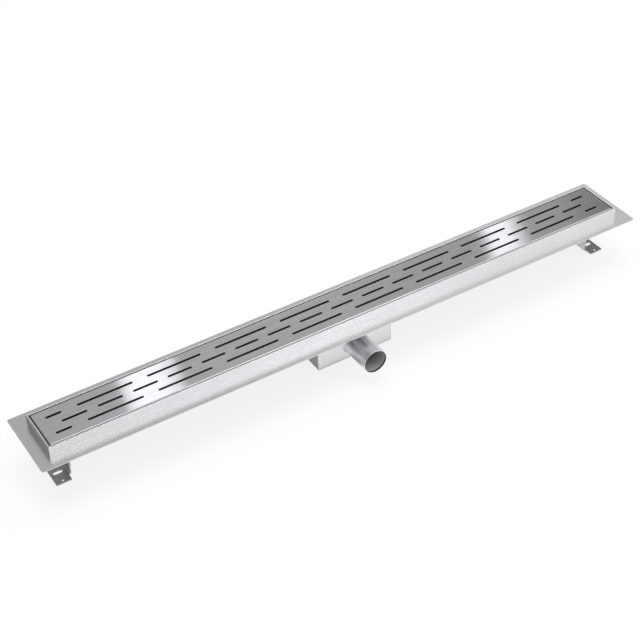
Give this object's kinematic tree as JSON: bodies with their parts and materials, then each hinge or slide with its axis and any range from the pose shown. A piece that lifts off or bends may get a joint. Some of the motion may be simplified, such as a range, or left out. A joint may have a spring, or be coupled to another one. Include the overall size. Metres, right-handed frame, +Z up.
{
  "type": "linear shower drain",
  "caption": "Linear shower drain: slotted grate in a flanged channel, over a sump with a side outlet, a removable trap and feet adjustable in height.",
  "frame": {"origin": "on the floor under the middle of the channel, at the centre of the two foot fixings", "axes": "+X along the channel, -Y the way the outlet points, +Z up"},
  "size_m": [1.053, 0.1545, 0.0914],
  "materials": {
    "channel_steel": "satin stainless steel sheet",
    "sump_steel": "satin stainless steel sheet",
    "pipe_steel": "drawn stainless tube with fine marks along it",
    "grate_steel": "brushed along its length",
    "foot_steel": "plain stainless sheet",
    "fastener_steel": "bright stainless fasteners",
    "strainer_steel": "pressed stainless sheet",
    "trap_plastic": "dark grey moulded plastic",
    "seal_rubber": "black rubber"
  },
  "bodies": {
    "drain": {"bridge_1": "channel_steel", "bridge_2": "channel_steel", "bridge_3": "channel_steel", "bridge_4": "channel_steel", "channel_body": "channel_steel", "foot_bolt_left": "fastener_steel", "foot_bolt_right": "fastener_steel", "foot_nut_left": "fastener_steel", "foot_nut_right": "fastener_steel", "foot_tab_left": "foot_steel", "foot_tab_right": "foot_steel", "foot_washer_left": "fastener_steel", "foot_washer_right": "fastener_steel", "grate": "grate_steel", "grate_pads_1": "seal_rubber", "grate_pads_2": "seal_rubber", "grate_pads_3": "seal_rubber", "grate_pads_4": "seal_rubber", "hair_strainer": "strainer_steel", "outlet_pipe": "pipe_steel", "strainer_handle": "strainer_steel", "sump_box": "sump_steel", "trap_body": "trap_plastic", "trap_cup": "trap_plastic", "trap_gasket": "seal_rubber"},
    "left_foot": {"foot_left": "foot_steel"},
    "right_foot": {"foot_right": "foot_steel"}
  },
  "joints": [
    {"name": "left_foot_height", "type": "slide", "parent": "drain", "child": "left_foot", "axis": [0, 0, 1], "range_m": [-0.012, 0.012]},
    {"name": "right_foot_height", "type": "slide", "parent": "drain", "child": "right_foot", "axis": [0, 0, 1], "range_m": [-0.012, 0.012]}
  ]
}
